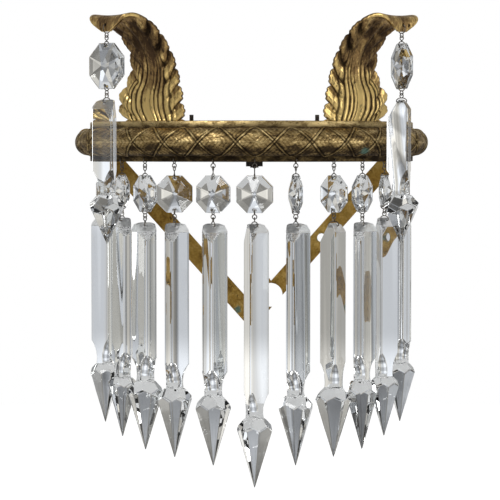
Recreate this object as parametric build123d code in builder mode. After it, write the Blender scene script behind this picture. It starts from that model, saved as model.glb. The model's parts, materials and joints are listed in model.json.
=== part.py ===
"""Crystal wall sconce.

A cast half-round band is screwed to a V of flat brass strip on the wall. Two acanthus
leaves stand on the band's top rim. Eleven strings hang from holes in the bottom rim and
two from the tips of the leaves: each is an octagon bead over a three-sided spear prism,
joined by bent wires whose eyes are linked like a chain.

Millimetres, +Z up. The wall is the plane Y = 0 and the band comes out towards -Y. The
origin is on the wall, midway between the two wall screws.
"""

import os
from math import asin, atan, cos, degrees, hypot, radians, sin, sqrt, tan

from build123d import *

os.makedirs("parts", exist_ok=True)

# Wall bracket
screw_spacing = 72.0  # between the two wall-screw holes
wall_screw_d = 4.4
arm_top_in = 2.8762  # from the end screw in to the arm's centre line, level with it
arm_width = 9.2
bracket_thick = 2.0
bite_d = 12.4  # round hole that breaks out of the right arm beside the apex
bite_x = 9.8
apex_disc_r = 7.4
apex_disc_x = 3.4
apex_disc_rise = 15.0  # of the disc's centre above the point where the arms' centre lines cross

# Band
band_bottom = 39.4  # height of its lower edge above the wall screws
low_rim = 2.5
torus_tall = 14.2
top_rim = 3.1
rim_radius = 82.8
torus_bulge = 8.3
band_wall = 1.5
hollow_depth = 6.2  # of the groove behind the torus
end_lug = 6.0  # length of the solid end behind each screw
end_screw_out = 1.8  # beyond the rim's radius
end_screw_rise = 12.1  # above the band's lower edge
end_screw_d = 2.5
end_screw_long = 7.0
end_head_d = 4.6
screw_clearance = 0.05

# Nut and bolt under the middle of the band
tab_wide = 9.0
tab_long = 10.5
tab_thick = 2.6
tab_slot = 1.2  # wide, for the wire through the front hole
tab_slot_deep = 1.0
nut_flats = 7.0
nut_tall = 2.2
bolt_d = 4.0
bolt_clearance = 0.1
bolt_head_d = 7.0
bolt_head_tall = 2.0
bolt_stub = 0.6  # left showing under the nut

# Acanthus leaves, as stations up the middle of the left leaf:
# rise above the band, reach beyond the rim, angle round the band, half the width
leaf_stations = (
    (0.0, -1.2, 36.4, 19.0),
    (6.0, -1.2, 38.4, 21.5),
    (13.0, -0.8, 38.2, 20.5),
    (20.0, 0.2, 36.0, 16.5),
    (27.0, 1.6, 35.2, 14.4),
    (34.0, 4.0, 35.6, 13.4),
    (41.0, 7.2, 37.4, 13.6),
    (47.0, 10.8, 39.8, 14.0),
    (51.0, 15.2, 42.4, 13.4),
    (50.2, 19.2, 43.3, 11.0),
    (46.8, 20.6, 43.3, 7.2),
    (42.6, 20.4, 43.3, 2.2),
)
leaf_lobes = 8
lobe_depth = 0.13  # of the half width, at the notch between two lobes
leaf_thick = 2.2
leaf_edge = 1.3
leaf_flute = 0.9
leaf_ribs = 5
tip_hole_rise = 45.8
tip_inset = 3.0  # from the hole in the leaf's tip to its edge
tip_grip = 3.4  # across the tip, level with its hole
peg_size = 1.5
peg_tall = 2.8
peg_out = 2.2151  # from the leaf's widest edge, beside the foot, to the peg's middle

# Wires
wire = 0.6
eye_r = 1.05
eye_pitch = 1.35  # between the centres of two linked eyes
clip_reach = 2.3  # from a hole to the eye of the wire that grips it
clip_leg = 0.15  # of the wire's legs beyond the edge that they grip
clip_gap = 0.12
rim_shank = 1.45
leaf_shank = 0.6
hole_d = 1.4
hole_sides = 8
hole_inset = 1.5  # from a hole's centre to the edge beside it

# Octagon beads
bead_front = 4.3
bead_back = 2.8
bead_girdle = 1.7
bead_border = 0.34  # share of the bead's half width that its bevelled border takes
bead_front_step = 1.9
bead_back_step = 1.6

# Prisms
prism_side = 13.5
prism_bevel = 0.9
ridge_thick = 1.9
roof_slope = 34.0  # of the two faces of the roof, off the vertical
dome_half = 2.6
dome_slopes = (74.0, 42.0)  # of the dome's facets across the roof, off the vertical
dome_step = 2.6
neck_r = 3.75
scoop_r = 13.6
neck_drop = 3.0  # from the neck's narrowest place to the spear
collar_r = 4.4
crown_spread = 0.8  # how fast the spear's crown widens downwards
tip_blunt = 0.25

# Strings, from the front of the band outwards
hook_angles = (0.0, 14.0, 28.0, 40.2, 52.0, 64.0)
spare_holes = (-23.6, -4.6, 19.0, 34.0)
prism_lengths = (127.0, 116.7, 113.5, 111.0, 108.0, 102.6)
front_bead = 18.0
front_spear_long = 33.5
front_spear_wide = 17.5
side_bead = 16.0
side_spear_long = 29.0
side_spear_wide = 15.0
first_side_string = 4
leaf_bead = 22.0
leaf_prism = 69.4
leaf_spear_long = 23.5
leaf_spear_wide = 17.5
left_bead_turns = (-14, -13, 44, -12, -13, 6)
right_bead_turns = (-14, -89, -78, 16, 20, -4)
left_prism_turns = (43, 28, 50, 30, 30, 22)
right_prism_turns = (43, 6, 36, -18, -8, 40)
leaf_bead_turns = (3, -113)
leaf_prism_turns = (8, 34)

# Worked out from the sizes above
band_top = band_bottom + low_rim + torus_tall + top_rim
rim_mid = rim_radius - band_wall / 2
rim_hole_z = band_bottom + hole_inset
end_screw_x = rim_radius + end_screw_out
end_screw_z = band_bottom + end_screw_rise
arm_end_x = end_screw_x - arm_top_in
arm_rise = end_screw_z / (arm_end_x - screw_spacing / 2)
arm_angle = degrees(atan(arm_rise))
apex_z = -screw_spacing / 2 * arm_rise
bolt_y = -rim_mid + tab_long - tab_wide / 2
leaf_widest = leaf_stations[1]
peg_angle = leaf_widest[2] - degrees(asin((leaf_widest[3] + peg_out) / rim_mid))


def spot(radius, angle, z):
    """A point at an angle round the band from its front, positive to the right."""
    return (radius * sin(radians(angle)), -radius * cos(radians(angle)), z)


def upright(place, heading):
    """A standing plane: its x runs level along the heading, its y runs up."""
    along = (cos(radians(heading)), sin(radians(heading)), 0)
    facing = (sin(radians(heading)), -cos(radians(heading)), 0)
    return Plane(origin=place, x_dir=along, z_dir=facing)


def save(piece, name):
    piece.part.label = name
    export_step(piece.part, f"parts/{name}.step")


# ---------------------------------------------------------------- wall bracket

arm_top = (end_screw_x, end_screw_z)
arm_length = (end_screw_z - apex_z) / sin(radians(arm_angle))
arm_mid = (arm_end_x / 2, (end_screw_z + apex_z) / 2)

with BuildPart() as wall_bracket:
    with BuildSketch(Plane.XZ):
        with Locations(Location((arm_mid[0], arm_mid[1], 0), (0, 0, arm_angle))):
            Rectangle(arm_length, arm_width)
        with Locations(arm_top, (0, apex_z)):
            Circle(arm_width / 2)
        mirror(about=Plane.YZ)
        with Locations((apex_disc_x, apex_z + apex_disc_rise)):
            Circle(apex_disc_r)
        with Locations((bite_x, apex_z + bite_x * arm_rise)):
            Circle(bite_d / 2, mode=Mode.SUBTRACT)
    extrude(amount=bracket_thick)
    with Locations(Plane(origin=(0, -bracket_thick, 0), x_dir=(1, 0, 0), z_dir=(0, -1, 0))):
        with GridLocations(screw_spacing, 1, 2, 1):
            Hole(radius=wall_screw_d / 2)
    with Locations(Plane(origin=(0, 0, end_screw_z), x_dir=(1, 0, 0), z_dir=(0, 1, 0))):
        with GridLocations(2 * end_screw_x, 1, 2, 1):
            CounterSinkHole(
                radius=end_screw_d / 2 + screw_clearance,
                counter_sink_radius=end_head_d / 2 + screw_clearance,
                counter_sink_angle=90,
            )
save(wall_bracket, "wall_bracket")

# ------------------------------------------------------------------------ band

band_axis = Axis((0, 0, 0), (0, 0, -1))
groove_low = band_bottom + low_rim + band_wall
groove_high = band_top - top_rim - band_wall
groove_r = rim_radius + hollow_depth - band_wall
torus_mid = band_bottom + low_rim + torus_tall / 2
all_angles = hook_angles + tuple(-angle for angle in hook_angles[1:])

with BuildSketch() as band_outline:
    with BuildLine():
        Polyline(
            (rim_radius, band_bottom + low_rim + torus_tall),
            (rim_radius, band_top),
            (rim_radius - band_wall, band_top),
            (rim_radius - band_wall, band_bottom),
            (rim_radius, band_bottom),
            (rim_radius, band_bottom + low_rim),
        )
        ThreePointArc(
            (rim_radius, band_bottom + low_rim),
            (rim_radius + torus_bulge, torus_mid),
            (rim_radius, band_bottom + low_rim + torus_tall),
        )
    make_face()

with BuildPart() as band:
    # One quarter of the ring, hollow behind the torus, then its mirror image.
    with BuildSketch(Plane.XZ):
        add(band_outline.sketch)
        with BuildLine():
            Polyline(
                (rim_radius - band_wall, groove_low),
                (rim_radius, groove_low),
                (groove_r, groove_low + hollow_depth / 2),
                (groove_r, groove_high - hollow_depth / 2),
                (rim_radius, groove_high),
                (rim_radius - band_wall, groove_high),
                close=True,
            )
        make_face(mode=Mode.SUBTRACT)
    revolve(axis=band_axis, revolution_arc=90)
    with BuildSketch(Plane.XZ):
        add(band_outline.sketch)
    revolve(axis=band_axis, revolution_arc=degrees((end_lug + bracket_thick) / rim_radius))
    mirror(about=Plane.YZ)
    split(bisect_by=Plane.XZ.offset(bracket_thick), keep=Keep.TOP)
    # The tab behind the front of the bottom rim, for the bolt.
    with BuildSketch(Plane.XY.offset(band_bottom)):
        with Locations((0, -rim_mid)):
            Rectangle(tab_wide, tab_long, align=(Align.CENTER, Align.MIN))
        with Locations((0, bolt_y)):
            Circle(bolt_d / 2 + bolt_clearance, mode=Mode.SUBTRACT)
        with Locations((0, -rim_radius + band_wall)):
            Rectangle(tab_slot, tab_slot_deep, align=(Align.CENTER, Align.MIN), mode=Mode.SUBTRACT)
    extrude(amount=tab_thick)
    for angle in all_angles + spare_holes:
        with BuildSketch(upright(spot(rim_radius + 1, angle, rim_hole_z), angle)):
            RegularPolygon(hole_d / 2, hole_sides, major_radius=False)
        extrude(amount=-band_wall - 2, mode=Mode.SUBTRACT)
    for side in (-1, 1):
        with Locations(Plane(origin=(side * end_screw_x, -bracket_thick, end_screw_z), z_dir=(0, 1, 0))):
            Hole(radius=end_screw_d / 2 + screw_clearance, depth=end_screw_long)
save(band, "band")

with BuildPart() as band_screws:
    for side in (-1, 1):
        seat = Plane(origin=(side * end_screw_x, 0, end_screw_z), x_dir=(1, 0, 0), z_dir=(0, 0, 1))
        with BuildSketch(seat):
            with BuildLine():
                Polyline(
                    (0, -screw_clearance),
                    (end_head_d / 2, -screw_clearance),
                    (end_screw_d / 2, -screw_clearance - (end_head_d - end_screw_d) / 2),
                    (end_screw_d / 2, -end_screw_long),
                    (0, -end_screw_long),
                    close=True,
                )
            make_face()
        revolve(axis=Axis(seat.origin, (0, 1, 0)))
save(band_screws, "band_screws")

with BuildPart() as front_bolt:
    # The nut under the tab, then the bolt down through both.
    with BuildSketch(Plane.XY.offset(band_bottom)):
        with Locations((0, bolt_y)):
            RegularPolygon(nut_flats / 2, 6, major_radius=False)
            Circle(bolt_d / 2 + bolt_clearance, mode=Mode.SUBTRACT)
    extrude(amount=-nut_tall)
    with BuildSketch(Plane.XY.offset(band_bottom + tab_thick)):
        with Locations((0, bolt_y)):
            Circle(bolt_head_d / 2)
    extrude(amount=bolt_head_tall)
    with BuildSketch(Plane.XY.offset(band_bottom + tab_thick)):
        with Locations((0, bolt_y)):
            Circle(bolt_d / 2)
    extrude(amount=-(tab_thick + nut_tall + bolt_stub))
save(front_bolt, "front_bolt")

with BuildPart() as leaf_pegs:
    for angle in (-peg_angle, peg_angle):
        with BuildSketch(Plane(origin=spot(rim_mid, angle, band_top), x_dir=spot(1, angle, 0))):
            Rectangle(peg_size, peg_size)
        extrude(amount=peg_tall)
save(leaf_pegs, "leaf_pegs")

# -------------------------------------------------------------- acanthus leaves


def between(share):
    """The leaf's station at a share of the way along the list, by straight steps."""
    step = share * (len(leaf_stations) - 1)
    low = min(int(step), len(leaf_stations) - 2)
    part = step - low
    pairs = zip(leaf_stations[low], leaf_stations[low + 1])
    return [a + (b - a) * part for a, b in pairs]


def leaf_plane(share):
    """The plane of a section: x outward along the leaf's width, y out of its front face."""
    rise, reach, angle, _ = between(share)
    low = between(max(0, share - 0.04))
    high = between(min(1, share + 0.04))
    slope = (high[1] - low[1], high[0] - low[0])
    size = hypot(*slope)
    out = spot(slope[0] / size, -angle, 0)
    place = spot(rim_radius + reach, -angle, band_top + rise)
    across = (-cos(radians(angle)), sin(radians(angle)), 0)
    return Plane(origin=place, x_dir=across, z_dir=(out[0], out[1], slope[1] / size))


def leaf_outline(share, notch):
    """A section: fluted on the front face, plain on the back, bent to the band's round."""
    half = between(share)[3] * (1 - notch * lobe_depth)
    flute = leaf_flute * min(1, 3 * (1 - share))
    front = []
    for step in range(2 * leaf_ribs + 1):
        side = step / leaf_ribs - 1
        swell = flute if step % 2 else -flute / 2
        edge = leaf_edge / 2 + (leaf_thick - leaf_edge) / 2 * (1 - side**2)
        bend = (side * half) ** 2 / (2 * rim_radius)
        front.append((side * half, edge + swell * (1 - side**4) - bend))
    back = []
    for step in range(5):
        side = 1 - step / 2
        edge = leaf_edge / 2 + (leaf_thick - leaf_edge) / 2 * (1 - side**2)
        bend = (side * half) ** 2 / (2 * rim_radius)
        back.append((side * half, -edge - bend))
    return front + back


tip_share = 1 - (tip_hole_rise - leaf_stations[-1][0]) / (leaf_stations[-2][0] - leaf_stations[-1][0]) / (
    len(leaf_stations) - 1
)
tip_angle = leaf_stations[-1][2]
tip_r = rim_radius + between(tip_share)[1]
tip_hole_z = band_top + tip_hole_rise

with BuildPart() as leaf_left:
    for lobe in range(leaf_lobes):
        for share, notch in ((0, 1), (0.3, 0), (0.75, 0)):
            place = (lobe + share) / leaf_lobes
            with BuildSketch(leaf_plane(place)):
                with BuildLine():
                    Polyline(*leaf_outline(place, notch), close=True)
                make_face()
    with BuildSketch(leaf_plane(1)):
        with BuildLine():
            Polyline(*leaf_outline(1, 0), close=True)
        make_face()
    loft(ruled=True)
    with BuildSketch(upright(spot(tip_r, -tip_angle, tip_hole_z), -tip_angle)):
        RegularPolygon(hole_d / 2, hole_sides, major_radius=False)
    extrude(amount=tip_grip / 2, both=True, mode=Mode.SUBTRACT)
save(leaf_left, "leaf_left")

with BuildPart() as leaf_right:
    mirror(leaf_left.part, about=Plane.YZ)
save(leaf_right, "leaf_right")

# ------------------------------------------------------------------------ wires


def eye(place, heading):
    """A ring of wire standing along the heading."""
    with BuildPart() as ring:
        with BuildSketch(upright(place, heading)):
            RegularPolygon(eye_r + wire / 2, 8, major_radius=False, rotation=22.5)
            RegularPolygon(eye_r - wire / 2, 8, major_radius=False, rotation=22.5, mode=Mode.SUBTRACT)
        extrude(amount=wire / 2, both=True)
    return ring.part


def clip(place, heading, thickness, inset, reach, way):
    """A wire through a hole and round the edge beside it, up (way 1) or down (way -1)."""
    half = thickness / 2 + clip_gap + wire / 2
    leg = way * (inset + clip_leg)
    corners = ((-half, 0), (half, 0), (half, leg), (0, way * reach), (-half, leg))
    with BuildPart() as grip:
        with BuildSketch(upright(place, heading)):
            with BuildLine():
                Polyline(*corners, close=True)
            middle = make_face(mode=Mode.PRIVATE)
            offset(middle, amount=wire / 2, kind=Kind.INTERSECTION)
            offset(middle, amount=-wire / 2, kind=Kind.INTERSECTION, mode=Mode.SUBTRACT)
        extrude(amount=wire / 2, both=True)
    return grip.part


def bar(low, high):
    """A straight stretch of wire, between two points one above the other."""
    with BuildPart() as rod:
        with BuildSketch(Plane(origin=low, z_dir=(0, 0, 1))):
            Rectangle(wire, wire)
        extrude(amount=high[2] - low[2])
    return rod.part


# ------------------------------------------------------------------------ glass


def facet(turn, radius, depth, spread, face):
    """The plane of a bead's facet: through a radius at a depth, spread wider per mm inwards."""
    along = (cos(radians(turn)), sin(radians(turn)))
    place = (radius * along[0], -face * depth, radius * along[1])
    return Plane(origin=place, z_dir=(along[0], -face * spread, along[1]))


def octagon_bead(size):
    """An octagon bead standing across -Y, pointed in front and flatter behind."""
    girdle_r = size / 2
    table_r = girdle_r * (1 - bead_border)
    with BuildPart() as bead:
        with BuildSketch(Plane.XZ.offset(-bead_back)):
            RegularPolygon(girdle_r, 8, major_radius=False, rotation=22.5)
        extrude(amount=bead_back + bead_front)
        for face, step, point in ((1, bead_front_step, bead_front), (-1, bead_back_step, bead_back)):
            border_spread = (girdle_r - table_r) / (step - bead_girdle / 2)
            table_spread = table_r / (point - step)
            for turn in range(0, 360, 45):
                split(bisect_by=facet(turn, table_r, step, border_spread, face), keep=Keep.BOTTOM)
                split(bisect_by=facet(turn, table_r, step, table_spread, face), keep=Keep.BOTTOM)
        with BuildSketch(Plane.XZ.offset(bead_front)):
            with GridLocations(1, 2 * (girdle_r - hole_inset), 1, 2):
                RegularPolygon(hole_d / 2, hole_sides, major_radius=False)
        extrude(amount=-bead_front - bead_back, mode=Mode.SUBTRACT)
    return bead.part


def spear_prism(length, spear_long, spear_wide):
    """A three-sided prism hanging from its top, with a scooped neck and a six-sided spear."""
    collar_z = spear_long - length
    crown_long = (spear_wide / 2 - collar_r) / crown_spread
    point_spread = spear_wide / 2 / (spear_long - crown_long) * cos(radians(30))
    with BuildPart() as spear:
        with BuildSketch(Plane.XY.offset(-length)):
            RegularPolygon(spear_wide, 6)
        extrude(amount=spear_long)
        for turn in range(0, 360, 60):
            for angle, radius, z, slope in (
                (turn, tip_blunt, -length, -point_spread),
                (turn + 30, collar_r, collar_z, crown_spread),
            ):
                along = (cos(radians(angle)), sin(radians(angle)))
                place = (radius * along[0], radius * along[1], z)
                split(bisect_by=Plane(origin=place, z_dir=(*along, slope)), keep=Keep.BOTTOM)
    with BuildPart() as prism:
        with BuildSketch(Plane.XY.offset(collar_z)):
            RegularPolygon(prism_side / sqrt(3), 3, rotation=180)
            chamfer(vertices(), prism_bevel)
        extrude(amount=-collar_z)
        for side in (-1, 1):
            lean = radians(roof_slope)
            face = Plane(origin=(side * ridge_thick / 2, 0, 0), z_dir=(side * cos(lean), 0, sin(lean)))
            split(bisect_by=face, keep=Keep.BOTTOM)
            lean = radians(dome_slopes[0])
            face = Plane(origin=(0, side * dome_half, 0), z_dir=(0, side * cos(lean), sin(lean)))
            split(bisect_by=face, keep=Keep.BOTTOM)
            lean = radians(dome_slopes[1])
            face = Plane(origin=(0, side * (dome_half + dome_step), 0), z_dir=(0, side * cos(lean), sin(lean)))
            split(bisect_by=face, keep=Keep.BOTTOM)
        for turn in (60, 180, 300):
            middle = spot(neck_r + scoop_r, turn + 90, collar_z + neck_drop)
            with Locations(Plane(origin=middle, z_dir=spot(1, turn, 0))):
                Cylinder(scoop_r, 2 * prism_side, mode=Mode.SUBTRACT)
        with BuildSketch(Plane.YZ.offset(prism_side)):
            with Locations((0, -hole_inset)):
                RegularPolygon(hole_d / 2, hole_sides, major_radius=False)
        extrude(amount=-2 * prism_side, mode=Mode.SUBTRACT)
        add(spear.part)
    return prism.part


# ---------------------------------------------------------------------- strings


def turned(shape, place, heading):
    """A shape moved to a place, its x axis turned to the heading."""
    return shape.moved(Location(place, (0, 0, heading)))


def hang(tag, foot, heading, hold, bead, bead_size, bead_turn, prism, prism_turn):
    """Hang one string from a hole at foot, swinging along the heading; gives its hook."""
    x, y, hole_z = foot
    thickness, inset, reach, shank = hold
    bead_taper = (bead_front_step - bead_girdle / 2) / (bead_border * bead_size / 2)
    bead_thick = bead_girdle + 2 * bead_taper * hole_inset
    roof_thick = ridge_thick + 2 * hole_inset * tan(radians(roof_slope))

    hook_eye = hole_z - reach - eye_r
    bead_eye = hook_eye - eye_pitch
    bead_hole = bead_eye - eye_r - shank - clip_reach
    bead_z = bead_hole - bead_size / 2 + hole_inset
    low_hole = bead_z - bead_size / 2 + hole_inset
    low_eye = low_hole - clip_reach - eye_r
    prism_eye = low_eye - eye_pitch
    prism_hole = prism_eye - eye_r - clip_reach
    bead_heading = heading + bead_turn
    prism_heading = heading + prism_turn

    hook_grip = clip(foot, heading, thickness, inset, reach, -1)
    hook_ring = eye((x, y, hook_eye), heading + 90)
    bead_ring = eye((x, y, bead_eye), heading)
    bead_rod = bar((x, y, bead_eye - eye_r - shank), (x, y, bead_eye - eye_r))
    bead_grip = clip((x, y, bead_hole), bead_heading, bead_thick, hole_inset, clip_reach, 1)
    low_grip = clip((x, y, low_hole), bead_heading, bead_thick, hole_inset, clip_reach, -1)
    low_ring = eye((x, y, low_eye), heading + 90)
    prism_ring = eye((x, y, prism_eye), heading)
    prism_grip = clip((x, y, prism_hole), prism_heading, roof_thick, hole_inset, clip_reach, 1)

    with BuildPart() as octagon:
        add(turned(bead, (x, y, bead_z), bead_heading + 90))
    save(octagon, f"octagon_{tag}")
    with BuildPart() as octagon_pins:
        add(bead_ring)
        add(bead_rod)
        add(bead_grip)
        add(low_grip)
        add(low_ring)
    save(octagon_pins, f"octagon_pins_{tag}")
    with BuildPart() as hanging_prism:
        add(turned(prism, (x, y, prism_hole + hole_inset), prism_heading))
    save(hanging_prism, f"prism_{tag}")
    with BuildPart() as prism_pin:
        add(prism_ring)
        add(prism_grip)
    save(prism_pin, f"prism_pin_{tag}")
    return [hook_grip, hook_ring]


rim_hold = (band_wall, hole_inset, clip_reach, rim_shank)
tip_hold = (tip_grip, tip_inset, tip_inset + clip_reach - hole_inset, leaf_shank)
beads = {size: octagon_bead(size) for size in (front_bead, side_bead, leaf_bead)}
hook_wires = []
sides = (
    ("left", -1, left_bead_turns, left_prism_turns),
    ("right", 1, right_bead_turns, right_prism_turns),
)

for place, angle in enumerate(hook_angles):
    size = front_bead
    spear_long = front_spear_long
    spear_wide = front_spear_wide
    if place >= first_side_string:
        size = side_bead
        spear_long = side_spear_long
        spear_wide = side_spear_wide
    prism = spear_prism(prism_lengths[place], spear_long, spear_wide)
    for side, way, bead_turns, prism_turns in sides if place else sides[:1]:
        tag = f"{side}_{place}" if place else "front"
        foot = spot(rim_mid, way * angle, rim_hole_z)
        heading = way * angle - 90
        hook_wires += hang(
            tag, foot, heading, rim_hold, beads[size], size, bead_turns[place], prism, prism_turns[place]
        )

short_prism = spear_prism(leaf_prism, leaf_spear_long, leaf_spear_wide)
for index, side in enumerate(("left", "right")):
    way = 2 * index - 1
    foot = spot(tip_r, way * tip_angle, tip_hole_z)
    hook_wires += hang(
        f"leaf_{side}",
        foot,
        way * tip_angle - 90,
        tip_hold,
        beads[leaf_bead],
        leaf_bead,
        leaf_bead_turns[index],
        short_prism,
        leaf_prism_turns[index],
    )

with BuildPart() as hooks:
    for piece in hook_wires:
        add(piece)
save(hooks, "hooks")
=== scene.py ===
"""Crystal wall sconce: a cast gilt-brass gallery and acanthus leaves, hung with cut crystal.

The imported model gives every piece's place. The bracket, the bolt, the pegs and the screws keep
their own solids. The crystals keep theirs too, with their edges polished. The band, the leaves
and the wires are modelled here over theirs.
"""

import json
from math import asin, atan2, cos, degrees, hypot, pi, radians, sin

import bmesh
import bpy
from mathutils import Matrix, Vector


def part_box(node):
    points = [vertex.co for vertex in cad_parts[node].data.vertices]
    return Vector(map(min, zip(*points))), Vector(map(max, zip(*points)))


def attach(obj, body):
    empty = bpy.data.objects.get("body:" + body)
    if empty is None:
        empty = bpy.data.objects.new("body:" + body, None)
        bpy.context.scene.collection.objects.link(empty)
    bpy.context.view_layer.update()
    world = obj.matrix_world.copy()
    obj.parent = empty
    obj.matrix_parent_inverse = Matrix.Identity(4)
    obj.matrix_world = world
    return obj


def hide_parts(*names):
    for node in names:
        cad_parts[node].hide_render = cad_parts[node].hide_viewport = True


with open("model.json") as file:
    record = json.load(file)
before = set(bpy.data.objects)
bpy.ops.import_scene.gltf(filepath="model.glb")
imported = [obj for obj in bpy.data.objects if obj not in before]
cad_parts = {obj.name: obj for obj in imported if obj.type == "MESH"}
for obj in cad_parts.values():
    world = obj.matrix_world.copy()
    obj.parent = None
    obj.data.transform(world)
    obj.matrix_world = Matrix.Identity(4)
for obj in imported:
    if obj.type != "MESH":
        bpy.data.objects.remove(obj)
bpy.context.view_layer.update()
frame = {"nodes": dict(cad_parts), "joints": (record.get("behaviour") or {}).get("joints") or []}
MM = 0.001
UP = Vector((0, 0, 1))

# ------------------------------------------------------- camera and lamps

LENS = 162.0
SENSOR = 36
CAMERA_PLACE = Vector((-0.021, -1.159, 0.045))
CAMERA_DOWN = 2.54
CAMERA_RIGHT = 1.0
LAMPS_AIM = Vector((0, -0.04, 0))
KEY_LAMP = ((-0.5, -0.9, 0.8), 0.5, 5.0)  # place, size and power
FILL_LAMP = ((0.9, -0.6, 0.2), 0.6, 2.0)

# ------------------------------------------------------------ band, in mm

RIM_RADIUS = 82.8
BAND_WALL = 1.5
BAND_BOTTOM = 39.4
LOW_RIM = 2.5
TORUS_TALL = 14.2
TORUS_BULGE = 8.3
TOP_RIM = 3.1
BAND_TOP = BAND_BOTTOM + LOW_RIM + TORUS_TALL + TOP_RIM
TORUS_MID = BAND_BOTTOM + LOW_RIM + TORUS_TALL / 2
TORUS_R = (TORUS_BULGE**2 + (TORUS_TALL / 2) ** 2) / (2 * TORUS_BULGE)
TORUS_CENTRE = RIM_RADIUS + TORUS_BULGE - TORUS_R  # how far out the middle of its section is
BAND_SINK = 0.75  # of the relief's ground below the plain torus, so that its crests come up to it
RELIEF_STARTS = 1.2  # beyond the rim, where the relief has come to its full height
RIM_CORNER = 0.25
TOP_CORNER = 0.4
CREASE = 0.1  # between a rim's face and the torus
GROOVE_IN = 3.0
GROOVE_HALF = 3
BAND_SHORT = 1.39  # degrees that each end stops short of the wall
SECTION_STEPS = 60
BAND_STEPS = 720
PLAIN_ENDS = (72, 84)  # degrees round the band over which the relief dies away

# The laurel round the band
LAUREL_PITCH = 37.0  # along the band, from where a ribbon crosses it to where it does so again
LAUREL_STEP = LAUREL_PITCH / 4
LAUREL_ROW = 6.6
LAUREL_LONG = 15.0
LAUREL_HALF = 4.4
LAUREL_RISE = 0.75
LAUREL_RIB = 0.12
LAUREL_VEINS = 7
VEIN_SLANT = 1.8
VEIN_DEPTH = 0.14
RIBBON_HALF = 0.42
RIBBON_TOP = 0.77
RIBBON_GROOVE = 0.40  # how deep the ground is cut beside a ribbon
RIBBON_REACH = 10.5  # how far round the section a ribbon goes from the middle before it turns back
RIBBON_SLOPE = 4 * RIBBON_REACH / LAUREL_PITCH
BERRY_R = 0.75
BERRY_LOW = 0.45
BERRY_RISE = 0.55

# Height of the relief, how worn the gilding is, and how grimed
LAUREL_GROUND = (0.12, 0.42, 0.12)
PLAIN_HEIGHT = 0.2
PLAIN_WORN = 0.3

# How worn and how grimed the plain parts are
TOP_RIM_LOOK = (0.78, 0.0)
BAND_BACK_LOOK = (0.2, 0.45)
CREASE_LOOK = (0.42, 0.2)
LOW_RIM_WORN = 0.3
LEAF_BACK_LOOK = (0.34, 0.22)

# ---------------------------------------------------------- leaves, in mm

# Rise above the band, reach beyond the rim, angle round the band and half width
LEAF_STATIONS = (
    (0.0, -1.2, 36.9, 18.4),
    (6.0, -1.2, 38.9, 20.8),
    (13.0, -0.8, 38.7, 19.8),
    (20.0, 0.2, 36.5, 15.8),
    (27.0, 1.6, 35.7, 13.7),
    (34.0, 4.0, 36.1, 12.7),
    (40.6, 7.2, 37.8, 13.1),
    (45.8, 10.8, 40.0, 13.7),
    (49.3, 15.2, 42.4, 13.0),
    (49.0, 19.2, 43.3, 11.8),
    (46.6, 20.6, 43.3, 9.0),
    (42.6, 20.4, 43.3, 2.4),
)
LEAF_COLUMNS = 240
LEAF_ROWS = 200
LEAF_THICK = 1.7
LEAF_LOBES = 9.5
LEAF_CLIMB = 0.13  # how far a vein climbs, as a share of the leaf, on its way to the edge
LOBE_DEPTH = 0.14
LOBE_RISE = 1.6
LOBE_RAYS = 2.5
RAY_RISE = 0.25
POCKET_DEEP = 1.1
RIDGES = 13  # across half of the leaf
RIDGE_RISE = 0.65
RIDGE_SWAY = 0.035  # how unevenly they stand, as a share of the leaf's half width
FOLDS = 2.1
FOLD_RISE = 0.9
LIP_RISE = 0.25
BACK_DEPTH = 0.4  # of the front's relief that shows on the back
TIP_FROM = 0.85  # the tip's holes are beyond this share of the leaf
TIP_HOLE_RISE = 45.8
TIP_HOLE_R = 0.65
SPARE_HOLE_OUT = 4.2  # from the right leaf's hole in use to its empty one

# ------------------------------------------------------- crystals, in mm

POLISH = 0.2  # width of the line of light along each cut edge
SAME_FACE = 1  # degrees within which two facets are one
CUT_EDGE = 12  # degrees across an edge that is polished
SHORTEST_EDGE = 0.3
ROOF_TALL = 7.0
LONG_FACE = 30.0
GLASS_WAVE = 0.5
GLASS_IOR = 1.48
ROOF_FROST = 0.28

# ---------------------------------------------------------- wires, in mm

WIRE_R = 0.25
EYE_R = 1.05
EYE_KNOTS = 8
EYE_PITCH = 1.35
CLIP_REACH = 2.3
TIP_REACH = 3.8
TIP_GRIP = 3.4
CLIP_GAP = 0.12
HOLE_INSET = 1.5
NEAR_HOLE = 0.6
# One side of a grip, as shares of its half width and of its leg
GRIP_SIDE = ((0.7, 0.0), (1.0, 0.45), (0.75, 1.05))

# ----------------------------------------------------------------- studio

# How many pale panels stand round it, where each starts and ends on its cosine, and how bright
# the gaps and the panels are
STUDIO_PANELS = (
    (9.0, -0.92, -0.30, 0.30, 0.60),
    (23.0, 0.20, 0.80, 0.0, 0.42),
    (61.0, 0.00, 0.60, 0.0, 0.14),
)
SHELVES = 17.0
SHELVES_TURN = 0.6
SHELF_STEPS = (-0.3, 0.4, 0.45, 1.05)  # where one starts and ends, and how bright both are
SLATS = 53.0
SLAT_STEPS = (-0.5, 0.5, 0.6, 1.0)
TINTS = 13.0
TINT_STEPS = (-0.6, 0.6)
WARM = (1.0, 0.96, 0.885, 1)
COOL = (0.91, 0.94, 1.0, 1)
WHITE = (1, 1, 1, 1)
AROUND_GLOW = 0.45  # what lights the matt pieces
FLOOR_R = 800.0
FLOOR_Z = -175.0
FLOOR_SIDES = 96
FLOOR_GRAY = 0.86
FLOOR_GLOW = 0.62  # with the lamps' light on it, it is as white as the background
FLOOR_GLOW_IN_GLASS = 0.12

# ----------------------------------------------------------------- colors

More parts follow.
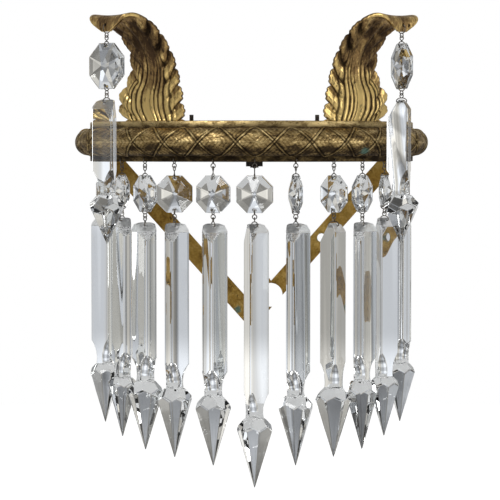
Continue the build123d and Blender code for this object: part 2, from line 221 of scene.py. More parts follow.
# Each metal where it is bright, in the middle and dark
BAND_COLORS = ((0.72, 0.54, 0.25), (0.33, 0.225, 0.090), (0.090, 0.060, 0.030))
LEAF_COLORS = ((0.86, 0.62, 0.24), (0.37, 0.235, 0.095), (0.105, 0.062, 0.033))
STRIP_COLORS = ((0.56, 0.37, 0.11), (0.42, 0.25, 0.055), (0.24, 0.135, 0.03))
STEEL_COLORS = ((0.16, 0.14, 0.12), (0.07, 0.06, 0.05), (0.03, 0.025, 0.02))
WIRE_COLORS = ((0.34, 0.31, 0.27), (0.17, 0.15, 0.125), (0.05, 0.042, 0.035))
SOIL_AND_SHADE_COLOR = (0.018, 0.012, 0.008, 1)
SPECK_COLOR = (0.03, 0.02, 0.012, 1)
GREEN_COLOR = (0.075, 0.16, 0.12, 1)
GLASS_COLOR = (0.93, 0.945, 0.945, 1)

# Places of the verdigris, in mm, each with its radius
BAND_GREEN = (((54.0, -72.0, 43.5), 4.6),)
STRIP_GREEN = (((36.0, -2.0, 0.0), 4.2), ((-7.0, -2.0, -37.0), 3.0))

# Scales of the noises
GRAIN = 900.0
SPECKS = 420.0
RAGGED = 500.0
CHIPS = 700.0
WAVES = 85.0
GILDING_BUMP = 0.4 * MM


# -------------------------------------------------------------- small tools


def spot(radius, angle, z):
    """A point at an angle round the band from its front, positive to the right, in mm."""
    return Vector((radius * sin(radians(angle)), -radius * cos(radians(angle)), z))


def smooth(low, high, value):
    """0 below low, 1 above high, and an easy curve between them."""
    share = min(1, max(0, (value - low) / (high - low)))
    return share * share * (3 - 2 * share)


def link(name, data):
    piece = bpy.data.objects.new(name, data)
    bpy.context.scene.collection.objects.link(piece)
    return piece


def dress(piece, material, body, slot, *nodes):
    """Give a new piece its material and its body, and hide the nodes that it stands for."""
    piece.data.materials.append(material)
    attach(piece, body)
    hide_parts(*nodes)


def new_marks(bm):
    """The marks of every point that say how worn and how grimed it is; both also carry painted
    shade.
    """
    return bm.verts.layers.float.new("worn_and_shaded"), bm.verts.layers.float.new("grime_and_shade")


def to_piece(name, bm):
    """Turn a bmesh in millimetres into a smooth object in metres."""
    bmesh.ops.scale(bm, vec=(MM, MM, MM), verts=bm.verts)
    mesh = bpy.data.meshes.new(name)
    bm.to_mesh(mesh)
    bm.free()
    for face in mesh.polygons:
        face.use_smooth = True
    return link(name, mesh)


def fill_ends(bm):
    """Close the open ends of a mesh and turn all its faces outwards."""
    bmesh.ops.holes_fill(bm, edges=[edge for edge in bm.edges if edge.is_boundary], sides=0)
    bmesh.ops.recalc_face_normals(bm, faces=bm.faces)


# ---------------------------------------------------------------- materials


class Nodes:
    """A short way to place and join nodes."""

    def __init__(self, tree):
        self.tree = tree

    def add(self, kind, **settings):
        node = self.tree.nodes.new(kind)
        for name, value in settings.items():
            setattr(node, name, value)
        return node

    def join(self, source, target):
        self.tree.links.new(source, target)

    def put(self, value, socket):
        """Set a socket, or join another socket to it."""
        if isinstance(value, bpy.types.NodeSocket):
            self.join(value, socket)
        else:
            socket.default_value = value

    def math(self, operation, *values, clamp=False):
        node = self.add("ShaderNodeMath", operation=operation, use_clamp=clamp)
        for value, socket in zip(values, node.inputs):
            self.put(value, socket)
        return node.outputs[0]

    def blend(self, share, first, second):
        node = self.add("ShaderNodeMix", data_type="RGBA")
        self.put(share, node.inputs[0])
        self.put(first, node.inputs[6])
        self.put(second, node.inputs[7])
        return node.outputs[2]

    def choose(self, share, first, second):
        node = self.add("ShaderNodeMix", data_type="FLOAT")
        self.put(share, node.inputs[0])
        self.put(first, node.inputs[2])
        self.put(second, node.inputs[3])
        return node.outputs[0]

    def between(self, value, low, high, out_low=0.0, out_high=1.0):
        node = self.add("ShaderNodeMapRange", interpolation_type="SMOOTHSTEP")
        for number, setting in enumerate((value, low, high, out_low, out_high)):
            self.put(setting, node.inputs[number])
        return node.outputs[0]

    def noise(self, place, scale, detail, rough):
        node = self.add("ShaderNodeTexNoise")
        self.put(place, node.inputs["Vector"])
        self.put(scale, node.inputs["Scale"])
        node.inputs["Detail"].default_value = detail
        node.inputs["Roughness"].default_value = rough
        return node.outputs[0]

    def place(self):
        return self.add("ShaderNodeTexCoord").outputs["Object"]

    def stretched(self, place, scale):
        """The place with each direction scaled: below 1 draws a pattern out along it."""
        node = self.add("ShaderNodeMapping")
        self.join(place, node.inputs["Vector"])
        node.inputs["Scale"].default_value = scale
        return node.outputs[0]

    def mark(self, name):
        return self.add("ShaderNodeAttribute", attribute_name=name).outputs["Fac"]

    def bump(self, height, strength, distance):
        node = self.add("ShaderNodeBump")
        node.inputs["Strength"].default_value = strength
        node.inputs["Distance"].default_value = distance
        self.join(height, node.inputs["Height"])
        return node.outputs[0]


def tree_of(name):
    """A new material with a bare Principled BSDF."""
    material = bpy.data.materials.new(name)
    material.use_nodes = True
    return material, Nodes(material.node_tree), material.node_tree.nodes["Principled BSDF"]


def old_gilding():
    """Gilding that has worn to bright metal on the crests and gone brown in the hollows. Its wear
    and grime marks also carry painted shade, which darkens it.
    """
    group = bpy.data.node_groups.new("old_gilding", "ShaderNodeTree")
    sockets = {
        "INPUT": {
            "Place": "Vector",
            "Worn_and_shaded": "Float",
            "Grime_and_shade": "Float",
            "Bright": "Color",
            "Middle": "Color",
            "Dark": "Color",
            "Patches": "Float",
        },
        "OUTPUT": {"Color": "Color", "Roughness": "Float", "Height": "Float"},
    }
    for side, kinds in sockets.items():
        for name, kind in kinds.items():
            group.interface.new_socket(name=name, in_out=side, socket_type="NodeSocket" + kind)
    nodes = Nodes(group)
    given = nodes.add("NodeGroupInput").outputs
    result = nodes.add("NodeGroupOutput").inputs
    patches = nodes.noise(given["Place"], given["Patches"], 5.0, 0.65)
    grain = nodes.noise(given["Place"], GRAIN, 3.0, 0.7)
    specks = nodes.noise(given["Place"], SPECKS, 2.0, 0.5)
    worn_and_shaded = nodes.math("ADD", given["Worn_and_shaded"], nodes.between(patches, 0.30, 0.70, -0.30, 0.30))
    worn_and_shaded = nodes.math("ADD", worn_and_shaded, nodes.between(grain, 0.3, 0.7, -0.20, 0.20), clamp=True)
    color = nodes.blend(nodes.between(worn_and_shaded, 0.05, 0.55), given["Dark"], given["Middle"])
    color = nodes.blend(nodes.between(worn_and_shaded, 0.5, 0.95), color, given["Bright"])
    washed = nodes.between(patches, 0.35, 0.75, 0.15, -0.15)
    grime_and_shade = nodes.math("ADD", given["Grime_and_shade"], washed, clamp=True)
    # Grime and painted shade both pull the colour towards near black.
    color = nodes.blend(nodes.math("MULTIPLY", grime_and_shade, 0.85), color, SOIL_AND_SHADE_COLOR)
    speck = nodes.between(specks, 0.66, 0.72)
    color = nodes.blend(nodes.math("MULTIPLY", speck, 0.7), color, SPECK_COLOR)
    nodes.join(color, result["Color"])
    rough = nodes.between(worn_and_shaded, 0.0, 1.0, 0.58, 0.3)
    nodes.join(nodes.math("ADD", rough, nodes.math("MULTIPLY", grime_and_shade, 0.2)), result["Roughness"])
    nodes.join(nodes.math("ADD", nodes.math("MULTIPLY", grain, 0.6), patches), result["Height"])
    return group


GILDING = old_gilding()


def gilded(name, colors, patches, worn_and_shaded, grime_and_shade, stretch=(1, 1, 1), green=(), bump=0.25):
    """A metal finish of the old gilding, worn and grimed by marks or by plain numbers; the marks
    also carry painted shade.

    The patches are drawn out where the stretch is below 1. Green gives the verdigris: round
    some places, each with its radius.
    """
    material, nodes, shader = tree_of(name)
    group = nodes.add("ShaderNodeGroup", node_tree=GILDING)
    place = nodes.place()
    nodes.join(nodes.stretched(place, stretch), group.inputs["Place"])
    for label, value in (("Worn_and_shaded", worn_and_shaded), ("Grime_and_shade", grime_and_shade)):
        nodes.put(nodes.mark(value) if isinstance(value, str) else value, group.inputs[label])
    for label, color in zip(("Bright", "Middle", "Dark"), colors):
        group.inputs[label].default_value = (*color, 1)
    group.inputs["Patches"].default_value = patches
    color = group.outputs["Color"]
    greened = None
    for middle, radius in green:
        size = radius * MM
        apart = nodes.add("ShaderNodeVectorMath", operation="DISTANCE")
        nodes.join(place, apart.inputs[0])
        apart.inputs[1].default_value = [value * MM for value in middle]
        ragged = nodes.math("MULTIPLY", nodes.noise(place, RAGGED, 4.0, 0.7), size * 1.1)
        near = nodes.math("ADD", apart.outputs["Value"], ragged)
        share = nodes.between(near, size * 0.9, size * 1.3, 0.9, 0.0)
        color = nodes.blend(share, color, GREEN_COLOR)
        greened = nodes.math("MAXIMUM", greened, share) if greened else share
    metallic = nodes.math("SUBTRACT", 1.0, greened) if greened else 1.0
    nodes.put(metallic, shader.inputs["Metallic"])
    nodes.join(color, shader.inputs["Base Color"])
    nodes.join(group.outputs["Roughness"], shader.inputs["Roughness"])
    nodes.join(nodes.bump(group.outputs["Height"], bump, GILDING_BUMP), shader.inputs["Normal"])
    return material


def crystal():
    """Clear cut glass. A prism's roof is half frosted, and its long faces wave a little."""
    material, nodes, shader = tree_of("crystal")
    shader.inputs["Base Color"].default_value = GLASS_COLOR
    shader.inputs["IOR"].default_value = GLASS_IOR
    shader.inputs["Transmission Weight"].default_value = 1.0
    place = nodes.place()
    frost = nodes.mark("frost")
    nodes.join(nodes.between(frost, 0.0, 1.0, 0.0, ROOF_FROST), shader.inputs["Roughness"])
    waves = nodes.noise(nodes.stretched(place, (1, 1, 0.05)), WAVES, 0.0, 0.5)
    waves = nodes.math("MULTIPLY", waves, nodes.mark("waves"))
    chips = nodes.math("MULTIPLY", nodes.noise(place, CHIPS, 3.0, 0.6), frost)
    relief = nodes.math("ADD", waves, chips)
    nodes.join(nodes.bump(relief, 1.0, GLASS_WAVE * MM), shader.inputs["Normal"])
    return material


CAST = gilded(
    "cast_gilding",
    BAND_COLORS,
    patches=150.0,
    worn_and_shaded="worn_and_shaded",
    grime_and_shade="grime_and_shade",
    stretch=(1, 1, 2.2),
    green=BAND_GREEN,
    bump=0.5,
)
LEAF = gilded(
    "leaf_gilding",
    LEAF_COLORS,
    patches=150.0,
    worn_and_shaded="worn_and_shaded",
    grime_and_shade="grime_and_shade",
    stretch=(1, 1, 0.45),
    bump=0.4,
)
STRIP = gilded("strip_brass", STRIP_COLORS, patches=90.0, worn_and_shaded=0.55, grime_and_shade=0.1, green=STRIP_GREEN)
DARK_STEEL = gilded("dark_steel", STEEL_COLORS, patches=200.0, worn_and_shaded=0.4, grime_and_shade=0.3)
WIRE = gilded("wire", WIRE_COLORS, patches=260.0, worn_and_shaded=0.5, grime_and_shade=0.1)
GLASS = crystal()

SOLID_FINISHES = {
    "wall_bracket": STRIP,
    "band_screws": DARK_STEEL,
    "front_bolt": DARK_STEEL,
    "leaf_pegs": DARK_STEEL,
}


# --------------------------------------------------------------------- band


def laurel_leaf(share, off):
    """One long, low leaf at a share of its length and off its rib, in mm.

    Gives its height, how worn it is and how grimed, or the ground's where there is no leaf.
    """
    if not 0 < share < 1:
        return LAUREL_GROUND
    half = LAUREL_HALF * (4 * share * (1 - share)) ** 0.6 * (1.2 - 0.4 * share)
    if half < 0.05 or abs(off) > half:
        return LAUREL_GROUND
    edge = 1 - (off / half) ** 2
    tilt = 0.25 + 0.75 * share
    phase = (share * LAUREL_VEINS - abs(off) / LAUREL_HALF * VEIN_SLANT) % 1
    vein = smooth(0.22, 0.0, min(phase, 1 - phase)) * smooth(0.1, 0.4, edge)
    rib = smooth(0.4, 0.0, abs(off))
    height = LAUREL_RISE * tilt * min(1, edge * 2.2) + LAUREL_RIB * rib - VEIN_DEPTH * vein
    worn_and_shaded = 0.36 + 0.34 * tilt * edge + 0.20 * rib - 0.25 * vein
    grime_and_shade = 0.50 * smooth(0.30, 0.0, edge) + 0.25 * vein
    return height, worn_and_shaded, grime_and_shade


def laurel(run, turn):
    """The relief at a run along the band and a turn round its section, both in mm."""
    along = abs(run)
    # Overlapping leaves in three rows, the middle row half a step ahead
    highest = LAUREL_GROUND
    for row in (-1, 0, 1):
        shift = 0.5 if row == 0 else 0.0
        first = along / LAUREL_STEP - shift
        for index in (int(first) - 1, int(first)):
            share = (along - (index + shift) * LAUREL_STEP) / LAUREL_LONG
            leaf = laurel_leaf(share, turn - row * LAUREL_ROW)
            if leaf[0] > highest[0]:
                highest = leaf
    height, worn_and_shaded, grime_and_shade = highest
    # Two thin ribbons wound opposite ways, each crossing the other's path at the middle
    phase = along / LAUREL_PITCH
    for ahead in (0.0, 0.5):
        path = (phase + ahead) % 1
        level = (4 * abs(path - 0.5) - 1) * RIBBON_REACH
        off = abs(turn - level) / hypot(1, RIBBON_SLOPE)
        ribbon = smooth(RIBBON_HALF * 1.25, RIBBON_HALF * 0.7, off)
        beside = smooth(RIBBON_HALF * 3.2, RIBBON_HALF * 1.6, off) * (1 - ribbon)
        height += (RIBBON_TOP - height) * ribbon - RIBBON_GROOVE * beside
        worn_and_shaded += (0.80 - worn_and_shaded) * ribbon
        grime_and_shade += (1.1 * beside - grime_and_shade * ribbon) * 0.9
    # A berry where they cross
    crossing = (phase - 0.25) % 0.5
    crossing = min(crossing, 0.5 - crossing) * LAUREL_PITCH
    away = hypot(crossing, turn) / BERRY_R
    if away < 1:
        height = max(height, BERRY_LOW + BERRY_RISE * (1 - away**2) ** 0.5)
        worn_and_shaded = 0.8 - 0.5 * away
    elif away < 1.6:
        grime_and_shade = max(grime_and_shade, 0.8)
    return height, worn_and_shaded, grime_and_shade


def torus_relief(angle, turn):
    """The relief at an angle round the band and one round its section, both in radians.

    It is plain near the wall, and its lower side is darkened as painted shade.
    """
    height, worn_and_shaded, grime_and_shade = laurel(angle * (RIM_RADIUS + TORUS_BULGE), turn * TORUS_R)
    plain = smooth(*PLAIN_ENDS, abs(degrees(angle)))
    height += (PLAIN_HEIGHT - height) * plain
    worn_and_shaded += (PLAIN_WORN - worn_and_shaded) * plain
    # Painted shade: the lower side of the torus is made less worn and more grimed, so it comes out
    # darker.
    low = smooth(0.1, -0.75, sin(turn))
    return height, worn_and_shaded - 0.30 * low, grime_and_shade + 0.42 * low


def plain_look(radius, rise):
    """How worn and how grimed the band is away from its torus."""
    if radius < RIM_RADIUS - BAND_WALL / 2:
        return BAND_BACK_LOOK
    if rise > TORUS_TALL / 2:
        return TOP_RIM_LOOK
    if rise < -TORUS_TALL / 2:
        # The low rim grows darker towards its bottom edge.
        lowest = smooth(-LOW_RIM / 2, -LOW_RIM, rise + TORUS_TALL / 2)
        return LOW_RIM_WORN, 0.3 + 0.45 * lowest
    return CREASE_LOOK


def band_profile():
    """The band's section, outer face first and then its hollow back: radius and height."""
    inner = RIM_RADIUS - BAND_WALL
    groove = RIM_RADIUS + GROOVE_IN
    points = [(inner, BAND_BOTTOM), (RIM_RADIUS - RIM_CORNER, BAND_BOTTOM)]
    points += [(RIM_RADIUS, BAND_BOTTOM + RIM_CORNER)]
    points += [(RIM_RADIUS, BAND_BOTTOM + LOW_RIM - CREASE)]
    reach = pi - asin(TORUS_TALL / 2 / TORUS_R)  # the torus is more than half round
    for step in range(SECTION_STEPS + 1):
        turn = -reach + 2 * reach * step / SECTION_STEPS
        points.append((TORUS_CENTRE + TORUS_R * cos(turn), TORUS_MID + TORUS_R * sin(turn)))
    points += [(RIM_RADIUS, BAND_TOP - TOP_RIM + CREASE), (RIM_RADIUS, BAND_TOP - TOP_CORNER)]
    points += [(RIM_RADIUS - RIM_CORNER, BAND_TOP), (inner, BAND_TOP)]
    points += [(inner, BAND_TOP - TOP_RIM - BAND_WALL)]
    points += [(groove, TORUS_MID + GROOVE_HALF), (groove, TORUS_MID - GROOVE_HALF)]
    points += [(inner, BAND_BOTTOM + LOW_RIM + BAND_WALL)]
    return points


def make_band():
    """Spin the section round the band, then raise the laurel on its torus."""
    bm = bmesh.new()
    worn_and_shaded, grime_and_shade = new_marks(bm)
    first = [bm.verts.new((0, -radius, z)) for radius, z in band_profile()]
    edges = [bm.edges.new(ends) for ends in zip(first, first[1:] + first[:1])]
    end = radians(90.0 - BAND_SHORT)
    start = Matrix.Rotation(-end, 3, "Z")
    bmesh.ops.rotate(bm, verts=first, matrix=start, cent=(0, 0, 0))
    bmesh.ops.spin(
        bm, geom=first + edges, axis=UP, cent=(0, 0, 0), angle=2 * end, steps=BAND_STEPS
    )
    fill_ends(bm)
    for vert in bm.verts:
        radius = hypot(vert.co.x, vert.co.y)
        angle = atan2(vert.co.x, -vert.co.y)
        rise = vert.co.z - TORUS_MID
        off_torus = abs(hypot(rise, radius - TORUS_CENTRE) - TORUS_R)
        if radius > RIM_RADIUS + 0.02 and off_torus < 0.05:
            turn = atan2(rise, radius - TORUS_CENTRE)
            height, wear_and_shade, soil_and_shade = torus_relief(angle, turn)
            settle = smooth(0, RELIEF_STARTS, radius - RIM_RADIUS)
            out = Vector((sin(angle) * cos(turn), -cos(angle) * cos(turn), sin(turn)))
            vert.co += out * (height - BAND_SINK) * settle
        else:
            wear_and_shade, soil_and_shade = plain_look(radius, rise)
        # The band is darkened where the torus meets the rims.
        if abs(rise) < TORUS_TALL / 2 + 0.3:
            soil_and_shade = max(soil_and_shade, 0.9 * smooth(1.2, 0.2, abs(radius - RIM_RADIUS)))
        vert[worn_and_shaded] = wear_and_shade
        vert[grime_and_shade] = soil_and_shade
    dress(to_piece("gilt_band", bm), CAST, "frame", "cast_brass", "band")


# ------------------------------------------------------------------- leaves


def station(share):
    """The leaf's rise, reach, angle and half width at a share of its length, as a smooth curve."""
    last = len(LEAF_STATIONS) - 1
    step = min(share * last, last - 1e-6)
    index = int(step)
    part = step - index
    square = part * part
    cube = square * part
    around = [LEAF_STATIONS[min(max(index + shift, 0), last)] for shift in (-1, 0, 1, 2)]
    return [
        (2 * cube - 3 * square + 1) * low
        + (cube - 2 * square + part) * ((high - before) / 2)
        + (3 * square - 2 * cube) * high
        + (cube - square) * ((after - low) / 2)
        for before, low, high, after in zip(*around)
    ]


def leaf_relief(side, share):
    """The relief at a side, from -1 to 1 across the leaf, and a share of its length.

    Gives its height, its narrowing at the edge, how worn it is and how grimed, with painted shade
    under the curl in the grime.
    """
    across = abs(side)
    plain = smooth(0.60, 0.72, share)  # the tip is smooth
    low_down = smooth(0.50, 0.08, share)

    # Narrow ridges on each side of a smooth middle, which die away into a few broad folds
    uneven = side + RIDGE_SWAY * sin(7 * side + 1)
    ridge = abs(cos(pi * RIDGES * uneven / 2 * (1 + 0.10 * low_down)))
    middle = smooth(0.14, 0.03, across)
    ridge_part = smooth(0.50 + 0.09 * sin(11 * side), 0.28, share)
    ridge_part *= smooth(0.70 + 0.2 * low_down, 0.45 + 0.2 * low_down, across)
    ridge_part *= 1 - middle
    fold = cos(2 * pi * FOLDS * side)
    height = RIDGE_RISE * (ridge - 0.6) * ridge_part
    height += FOLD_RISE * 0.5 * fold * (1 - across) * smooth(0.05, 0.4, share)

    # Shell-like lobes along the edges, each standing proud of the next one up
    within = (share - LEAF_CLIMB * across**1.5) * LEAF_LOBES % 1
    notch = 2 * min(within, 1 - within)
    shell = sin(pi * min(1, within * 1.15)) ** 0.6 if within < 0.87 else 0.0
    lobed_from = 0.44 - 0.24 * smooth(0.1, 0.45, share)
    edge_part = smooth(lobed_from, 0.66, across) * (1 - 0.35 * low_down)
    if side > 0:  # the edge away from the other leaf is plainer higher up
        edge_part *= 1 - 0.75 * smooth(0.26, 0.42, share)
    rays = abs(cos(pi * LOBE_RAYS * within))
    height += edge_part * (LOBE_RISE * (shell - 0.62) + RAY_RISE * rays * shell)
    scallop = (1 - notch) ** 3 + 0.22 * abs(cos(pi * 3 * within)) ** 4
    narrow = LOBE_DEPTH * scallop * smooth(0.6, 1.0, across)

    # Deep pockets at the inner ends of the notches
    pocket = smooth(0.20, 0.04, abs(across - 0.46)) * smooth(0.45, 0.10, notch)
    pocket *= smooth(0.1, 0.3, share)
    pocket *= edge_part
    height -= POCKET_DEEP * pocket

    crest = ridge * ridge_part + shell * edge_part + 0.4 * (0.5 + 0.5 * fold) * (1 - ridge_part)
    crest = min(1, crest / 1.25 + 0.6 * middle * low_down)
    # Painted shade under the forward curl of the leaf, added to the grime.
    shade_under_curl = smooth(0.36, 0.54, share) * smooth(0.73, 0.66, share)
    shade_under_curl *= smooth(0.95, 0.55, across)
    worn_and_shaded = 0.20 + 0.36 * low_down + (0.28 + 0.40 * low_down) * crest**1.5
    grime_and_shade = 0.38 * shade_under_curl + 1.1 * ridge_part * smooth(0.75, 0.25, ridge) + 0.8 * pocket
    grime_and_shade += edge_part * (0.95 * smooth(0.30, 0.0, notch) + 0.30 * smooth(0.6, 0.1, rays))

    fade = 1 - plain
    lip = min(1, smooth(0.80, 1.0, across) + smooth(0.975, 1.0, share))
    height = height * fade + LIP_RISE * plain * lip
    worn_and_shaded += (0.50 + 0.25 * lip - worn_and_shaded) * plain
    return height, narrow * fade, worn_and_shaded, grime_and_shade * fade


def leaf_point(share):
    """The middle of the left leaf at a share of its length, with three more things.

    They are the way across it, its front face's way out, and its half width.
    """
    rise, reach, angle, half = station(share)
    before = station(max(0, share - 0.02))
    after = station(min(1, share + 0.02))
    outward = after[1] - before[1]
    upward = after[0] - before[0]
    size = hypot(outward, upward)
    out = spot(1, -angle, 0) * (upward / size) - Vector((0, 0, outward / size))
    across = Vector((-cos(radians(angle)), sin(radians(angle)), 0))
    return spot(RIM_RADIUS + reach, -angle, BAND_TOP + rise), across, out, half


def make_leaf(name, node, holes, mirrored=False):
    """Wrap a grid round the leaf: half of its columns for the carved front, half for the back.

    Each hole at the tip is given by its distance from the leaf's middle line.
    """
    bm = bmesh.new()
    worn_and_shaded, grime_and_shade = new_marks(bm)
    bmesh.ops.create_grid(bm, x_segments=LEAF_COLUMNS, y_segments=LEAF_ROWS, size=1)
    for vert in bm.verts:
        turn = 2 * vert.co.x  # from -2 to 0 over the front, from 0 to 2 over the back
        front = turn < 0.001 or turn > 1.999
        side = turn + 1 if turn < 0.001 else 1 - turn
        share = (vert.co.y + 1) / 2
        height, narrow, wear_and_shade, soil_and_shade = leaf_relief(side, share)
        if front:
            height += LEAF_THICK / 2
        else:
            height = BACK_DEPTH * height - LEAF_THICK / 2
            curled = smooth(0.62, 0.75, share)  # where the curl turns the back to the front
            wear_and_shade = LEAF_BACK_LOOK[0] + (wear_and_shade - LEAF_BACK_LOOK[0]) * curled
            soil_and_shade = LEAF_BACK_LOOK[1] + (soil_and_shade - LEAF_BACK_LOOK[1]) * curled
        place, across, out, half = leaf_point(share)
        width = side * half * (1 - narrow)
        bend = width**2 / (2 * RIM_RADIUS)
        settle = smooth(0, 0.02, share)
        if share > TIP_FROM:
            for hole in holes:
                away = hypot(width - hole, place.z - BAND_TOP - TIP_HOLE_RISE)
                # Each hole is only a shallow pit, painted dark as painted shade for the hole's
                # opening.
                pit = smooth(TIP_HOLE_R * 1.35, TIP_HOLE_R * 0.85, away)
                height -= height * pit
                soil_and_shade += pit
        vert.co = place + across * width + out * (height - 0.2 * settle - bend)
        if share <= 0.001:
            vert.co.z = BAND_TOP
        vert[worn_and_shaded] = wear_and_shade
        vert[grime_and_shade] = soil_and_shade
    bmesh.ops.remove_doubles(bm, verts=bm.verts, dist=0.0005)
    if mirrored:
        bmesh.ops.scale(bm, vec=(-1, 1, 1), verts=bm.verts)
    fill_ends(bm)
    dress(to_piece(name, bm), LEAF, "frame", "cast_brass", node)


# -------------------------------------------------------------------- wires


def spread_way(node, height):
    """The level way in which a node spreads most near a height: where its wire grips."""
    places = [vert.co for vert in frame["nodes"][node].data.vertices]
    near = [place for place in places if abs(place.z - height) < NEAR_HOLE * MM]
    middle = sum(near, Vector()) / len(near)
    far = max(near, key=lambda p: (p.xy - middle.xy).length)
    way = far - middle
    return Vector((way.x, way.y, 0)).normalized(), (far.xy - middle.xy).length


def new_wire(name):
    curve = bpy.data.curves.new(name, "CURVE")
    curve.dimensions = "3D"
    curve.bevel_depth = WIRE_R * MM
    curve.bevel_resolution = 3
    curve.resolution_u = 6
    curve.use_fill_caps = True
    return curve


def lay(curve, points, closed=False):
    """Lay one smooth length of wire through some points, given in metres."""
    spline = curve.splines.new("BEZIER")
    spline.bezier_points.add(len(points) - 1)
    for knot, place in zip(spline.bezier_points, points):
        knot.co = place
        knot.handle_left_type = "AUTO"
        knot.handle_right_type = "AUTO"
    spline.use_cyclic_u = closed


def eye(curve, centre, way):
    """A closed eye standing along a level way."""
    turns = [2 * pi * step / EYE_KNOTS for step in range(EYE_KNOTS)]
    lay(curve, [centre + EYE_R * MM * (way * cos(t) + UP * sin(t)) for t in turns], closed=True)


def grip(curve, hole, way, half, inset, reach, up):
    """A wire through a hole and round the edge beside it, closing at its reach."""
    rise = UP * up
    leg = (inset + WIRE_R) * MM
    half = half * MM
    side = [(hole, way * half * wide, rise * leg * tall) for wide, tall in GRIP_SIDE]
    places = [hole]
    places += [start + wide + tall for start, wide, tall in side]
    places += [hole + rise * (reach * MM)]
    places += [start - wide + tall for start, wide, tall in reversed(side)]
    lay(curve, places, closed=True)


def make_hook(hooks, tag, eye_at, out, along):
    """The hook through the band's rim or a leaf's tip, above a string."""
    on_leaf = tag.startswith("leaf")
    reach = TIP_REACH if on_leaf else CLIP_REACH
    thick = TIP_GRIP if on_leaf else BAND_WALL
    foot = eye_at + UP * (EYE_R * MM) + UP * (reach * MM)
    half = thick / 2 + CLIP_GAP + WIRE_R
    eye(hooks, eye_at, along)
    grip(hooks, foot, out, half, reach - CLIP_REACH + HOLE_INSET, reach, -1)


def make_bead_wires(tag, upper, lower, out, along):
    """The wire above a bead and the one below it."""
    node = "octagon_pins_" + tag
    bead_low, bead_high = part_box("octagon_" + tag)
    hole = Vector((upper.x, upper.y, bead_high.z - HOLE_INSET * MM))
    way, size = spread_way(node, hole.z)
    half = size / MM - WIRE_R
    wires = new_wire("bead_wires_" + tag)
    eye(wires, upper, out)
    lay(wires, [upper - UP * (EYE_R * MM), hole + UP * (CLIP_REACH * MM)])
    grip(wires, hole, way, half, HOLE_INSET, CLIP_REACH, 1)
    hole = Vector((lower.x, lower.y, bead_low.z + HOLE_INSET * MM))
    grip(wires, hole, way, half, HOLE_INSET, CLIP_REACH, -1)
    eye(wires, lower + UP * (EYE_PITCH * MM), along)
    dress(link("bead_wires_" + tag, wires), WIRE, "bead_" + tag, "wire", node)


def make_prism_wire(tag, lower, out):
    """The wire through the top of a prism."""
    node = "prism_pin_" + tag
    prism_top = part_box("prism_" + tag)[1].z
    hole = Vector((lower.x, lower.y, prism_top - HOLE_INSET * MM))
    way, size = spread_way(node, hole.z)
    wires = new_wire("prism_wire_" + tag)
    eye(wires, lower, out)
    grip(wires, hole, way, size / MM - WIRE_R, HOLE_INSET, CLIP_REACH, 1)
    dress(link("prism_wire_" + tag, wires), WIRE, "drop_" + tag, "wire", node)


def make_wires():
    joints = {joint["name"]: joint for joint in frame["joints"]}
    hooks = new_wire("hook_wires")
    for name, joint in joints.items():
        if not name.startswith("bead_swing_"):
            continue
        tag = name.removeprefix("bead_swing_")
        upper = Vector(joint["pos_m"])
        lower = Vector(joints["prism_swing_" + tag]["pos_m"])
        out = Vector((-joint["axis"][1], joint["axis"][0], 0)).normalized()
        along = Vector((out.y, -out.x, 0))
        make_hook(hooks, tag, upper + UP * (EYE_PITCH * MM), out, along)
        make_bead_wires(tag, upper, lower, out, along)
        make_prism_wire(tag, lower, out)
    dress(link("hook_wires", hooks), WIRE, "frame", "wire", "hooks")


# --------------------------------------------------------- crystals and solids


def cut_crystal(node, body):
    """The same crystal with its sharp edges just taken off, as polishing leaves them."""
    bm = bmesh.new()
    bm.from_mesh(frame["nodes"][node].data)
    bmesh.ops.remove_doubles(bm, verts=bm.verts, dist=2e-6)
    bmesh.ops.dissolve_limit(bm, angle_limit=radians(SAME_FACE), verts=bm.verts, edges=bm.edges)
    sharp = []
    for edge in bm.edges:
        if edge.is_manifold and edge.calc_face_angle() > radians(CUT_EDGE):
            if edge.calc_length() > SHORTEST_EDGE * MM:
                sharp.append(edge)
    bmesh.ops.bevel(
        bm, geom=sharp, offset=POLISH * MM, affect="EDGES", segments=1, profile=0.5, material=-1
    )
    mesh = bpy.data.meshes.new("cut_" + node)
    bm.to_mesh(mesh)
    bm.free()
    is_prism = node.startswith("prism")
    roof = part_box(node)[1].z - ROOF_TALL * MM
    frost = []
    waves = []
    for face in mesh.polygons:
        heights = [mesh.vertices[index].co.z for index in face.vertices]
        frost.append(float(is_prism and face.center.z > roof and face.normal.z > 0.1))
        waves.append(float(max(heights) - min(heights) > LONG_FACE * MM))
    mesh.attributes.new("frost", "FLOAT", "FACE").data.foreach_set("value", frost)
    mesh.attributes.new("waves", "FLOAT", "FACE").data.foreach_set("value", waves)
    dress(link("cut_" + node, mesh), GLASS, body, "crystal", node)


def finish_solids():
    for name, node in list(frame["nodes"].items()):
        if name.startswith("octagon_") and "pins" not in name:
            cut_crystal(name, name.replace("octagon_", "bead_"))
        elif name.startswith("prism_") and "pin" not in name:
            cut_crystal(name, name.replace("prism_", "drop_"))
        elif name in SOLID_FINISHES:
            node.data.materials.clear()
            node.data.materials.append(SOLID_FINISHES[name])


# ---------------------------------------------------------------- the studio


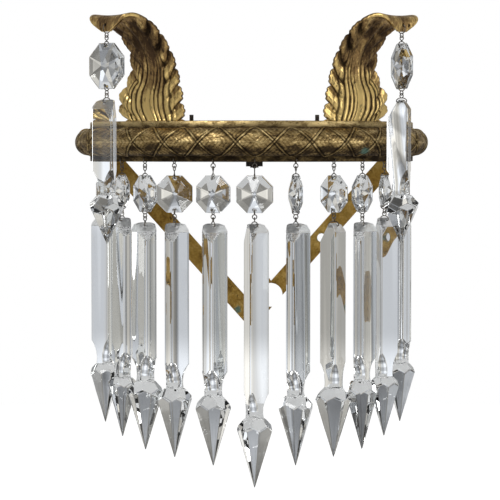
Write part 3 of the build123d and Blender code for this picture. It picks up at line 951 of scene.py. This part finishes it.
def make_world():
    """Pale panels and shelves for the glass to show, plain light for the rest, white behind."""
    world = bpy.data.worlds.new("studio")
    bpy.context.scene.world = world
    world.use_nodes = True
    nodes = Nodes(world.node_tree)
    back = world.node_tree.nodes["Background"]
    path = nodes.add("ShaderNodeLightPath").outputs
    way = nodes.add("ShaderNodeSeparateXYZ")
    nodes.join(nodes.add("ShaderNodeTexCoord").outputs["Generated"], way.inputs[0])
    east, north, up = way.outputs
    round_it = nodes.math("ARCTAN2", east, north)
    level = 0.0
    for count, low, high, dark, pale in STUDIO_PANELS:
        wave = nodes.math("COSINE", nodes.math("MULTIPLY", round_it, count))
        level = nodes.math("ADD", nodes.between(wave, low, high, dark, pale), level)
    shelves = nodes.math("COSINE", nodes.math("MULTIPLY_ADD", up, SHELVES, SHELVES_TURN))
    slats = nodes.math("COSINE", nodes.math("MULTIPLY", up, SLATS))
    shelf = nodes.between(shelves, *SHELF_STEPS)
    shelf = nodes.math("MULTIPLY", shelf, nodes.between(slats, *SLAT_STEPS))
    seen = nodes.math("MAXIMUM", path["Is Glossy Ray"], path["Is Transmission Ray"])
    level = nodes.choose(seen, AROUND_GLOW, nodes.math("MULTIPLY", level, shelf))
    level = nodes.choose(path["Is Camera Ray"], level, 1.0)
    tint = nodes.math("COSINE", nodes.math("MULTIPLY", round_it, TINTS))
    tint = nodes.blend(nodes.between(tint, *TINT_STEPS), WARM, COOL)
    nodes.join(level, back.inputs["Strength"])
    nodes.join(nodes.blend(path["Is Transmission Ray"], WHITE, tint), back.inputs["Color"])


def make_floor():
    """A pale disc that takes the object's shadow, white to the camera and darker in the glass."""
    bm = bmesh.new()
    bmesh.ops.create_circle(bm, cap_ends=True, segments=FLOOR_SIDES, radius=FLOOR_R)
    bmesh.ops.translate(bm, verts=bm.verts, vec=(0, 0, FLOOR_Z))
    floor = to_piece("floor", bm)
    material, nodes, shader = tree_of("pale_floor")
    shader.inputs["Base Color"].default_value = (FLOOR_GRAY, FLOOR_GRAY, FLOOR_GRAY, 1)
    shader.inputs["Roughness"].default_value = 0.9
    shader.inputs["Specular IOR Level"].default_value = 0.0
    path = nodes.add("ShaderNodeLightPath").outputs
    seen = nodes.math("MULTIPLY", path["Is Camera Ray"], FLOOR_GLOW)
    mirrored = nodes.math("MAXIMUM", path["Is Transmission Ray"], path["Is Glossy Ray"])
    mirrored = nodes.math("MULTIPLY", mirrored, FLOOR_GLOW_IN_GLASS)
    shader.inputs["Emission Color"].default_value = WHITE
    nodes.join(nodes.math("MAXIMUM", seen, mirrored), shader.inputs["Emission Strength"])
    floor.data.materials.append(material)


def make_lamp(name, place, size, power):
    lamp = bpy.data.lights.new(name, "AREA")
    lamp.shape = "DISK"
    lamp.size = size
    lamp.energy = power
    holder = link(name, lamp)
    holder.location = place
    holder.rotation_euler = (LAMPS_AIM - Vector(place)).to_track_quat("-Z", "Y").to_euler()


def make_camera():
    camera = bpy.data.cameras.new("camera")
    camera.lens = LENS
    camera.sensor_width = SENSOR
    camera.clip_start = 0.01
    holder = link("camera", camera)
    holder.location = CAMERA_PLACE
    holder.rotation_euler = (radians(90 - CAMERA_DOWN), 0, radians(-CAMERA_RIGHT))
    bpy.context.scene.camera = holder


make_band()
make_leaf("acanthus_left", "leaf_left", (0.0,))
make_leaf("acanthus_right", "leaf_right", (0.0, SPARE_HOLE_OUT), mirrored=True)
make_wires()
finish_solids()
make_world()
make_floor()
make_lamp("key_lamp", *KEY_LAMP)
make_lamp("fill_lamp", *FILL_LAMP)
make_camera()
bpy.context.scene.view_settings.view_transform = "Standard"
